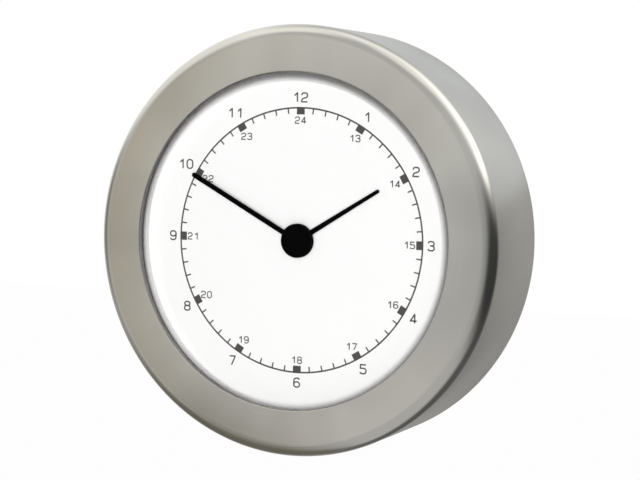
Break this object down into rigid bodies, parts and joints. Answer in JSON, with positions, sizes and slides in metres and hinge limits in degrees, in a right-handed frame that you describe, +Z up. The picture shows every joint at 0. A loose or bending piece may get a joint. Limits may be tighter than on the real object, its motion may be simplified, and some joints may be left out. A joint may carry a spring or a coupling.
{
  "type": "ships clock",
  "caption": "Round wall clock in a drawn steel case with a glazed numbered dial, two stick hands, a quartz gear train and a twist-on wall plate.",
  "frame": {"origin": "centre of the base plate's flat back, where it meets the wall", "axes": "+Z up to twelve o'clock, +Y into the wall, so the dial faces -Y, +X to three o'clock"},
  "size_m": [0.11, 0.0335, 0.11],
  "materials": {
    "case_steel": "fine matt brushed stainless steel",
    "glass": "clear flat glass",
    "dial_white": "matt white with dark grey print",
    "hand_black": "satin black",
    "black_plastic": "moulded, matt",
    "grey_plastic": "moulded, matt",
    "white_plastic": "moulded, satin",
    "rubber": "black seal",
    "brass": "turned",
    "iron": "stamped soft iron",
    "copper": "enamelled copper wire",
    "spring_steel": "bright strip",
    "battery_wrap": "plain wrapped cell",
    "board_green": "lacquered board"
  },
  "bodies": {
    "wall_plate": {"base_plate": "black_plastic"},
    "clock_case": {"case_shell": "case_steel", "glass_gasket": "rubber", "front_glass": "glass", "spacer_ring": "white_plastic", "dial": "dial_white", "carrier_ring": "black_plastic", "movement_housing": "black_plastic", "movement_cover": "black_plastic", "middle_plate": "grey_plastic", "fixing_nut_left": "brass", "fixing_nut_right": "brass", "stator": "iron", "coil_core": "iron", "coil_bobbin": "grey_plastic", "coil_winding": "copper", "circuit_board": "board_green", "quartz_crystal": "spring_steel", "chip_cover": "black_plastic", "battery": "battery_wrap", "positive_contact": "spring_steel", "negative_contact": "spring_steel"},
    "minute_set": {"minute_hand": "hand_black", "minute_arbor": "brass", "clutch_spring": "spring_steel"},
    "hour_set": {"hour_hand": "hand_black", "hour_wheel": "white_plastic"},
    "motion_set": {"motion_wheel": "white_plastic"},
    "setting_set": {"setting_arbor": "white_plastic", "setting_knob": "grey_plastic"},
    "rotor_set": {"rotor_arbor": "white_plastic", "rotor_magnet": "iron"},
    "intermediate_set": {"intermediate_wheel": "white_plastic"},
    "seconds_set": {"seconds_wheel": "white_plastic"},
    "third_set": {"third_wheel": "white_plastic"},
    "centre_set": {"centre_wheel": "brass"}
  },
  "joints": [
    {"name": "case_twist", "type": "hinge", "parent": "wall_plate", "child": "clock_case", "pos_m": [0, 0, 0], "axis": [0, 1, 0], "range_deg": [-32, 0]},
    {"name": "minute_hand_turn", "type": "hinge", "parent": "clock_case", "child": "minute_set", "pos_m": [0, 0, 0], "axis": [0, 1, 0], "continuous": true},
    {"name": "hour_hand_turn", "type": "hinge", "parent": "clock_case", "child": "hour_set", "pos_m": [0, 0, 0], "axis": [0, 1, 0], "continuous": true},
    {"name": "motion_wheel_turn", "type": "hinge", "parent": "clock_case", "child": "motion_set", "pos_m": [-0.0096, 0, 0], "axis": [0, 1, 0], "continuous": true},
    {"name": "setting_knob_turn", "type": "hinge", "parent": "clock_case", "child": "setting_set", "pos_m": [-0.01895, 0, 0.0054], "axis": [0, 1, 0], "continuous": true},
    {"name": "rotor_turn", "type": "hinge", "parent": "clock_case", "child": "rotor_set", "pos_m": [0.01334, 0, 0.00013], "axis": [0, 1, 0], "continuous": true},
    {"name": "intermediate_wheel_turn", "type": "hinge", "parent": "clock_case", "child": "intermediate_set", "pos_m": [0.0127, 0, 0.00748], "axis": [0, 1, 0], "continuous": true},
    {"name": "seconds_wheel_turn", "type": "hinge", "parent": "clock_case", "child": "seconds_set", "pos_m": [0.0069, 0, 0.01439], "axis": [0, 1, 0], "continuous": true},
    {"name": "third_wheel_turn", "type": "hinge", "parent": "clock_case", "child": "third_set", "pos_m": [-0.00197, 0, 0.01117], "axis": [0, 1, 0], "continuous": true},
    {"name": "centre_wheel_turn", "type": "hinge", "parent": "clock_case", "child": "centre_set", "pos_m": [0, 0, 0], "axis": [0, 1, 0], "continuous": true}
  ],
  "couplings": [
    {"joint": "motion_wheel_turn", "follows": "minute_hand_turn", "ratio": -0.33333},
    {"joint": "hour_hand_turn", "follows": "minute_hand_turn", "ratio": 0.083333},
    {"joint": "setting_knob_turn", "follows": "minute_hand_turn", "ratio": 0.66667},
    {"joint": "intermediate_wheel_turn", "follows": "rotor_turn", "ratio": -0.2},
    {"joint": "seconds_wheel_turn", "follows": "rotor_turn", "ratio": 0.033333},
    {"joint": "third_wheel_turn", "follows": "rotor_turn", "ratio": -0.0044444},
    {"joint": "centre_wheel_turn", "follows": "rotor_turn", "ratio": 0.00055556}
  ]
}
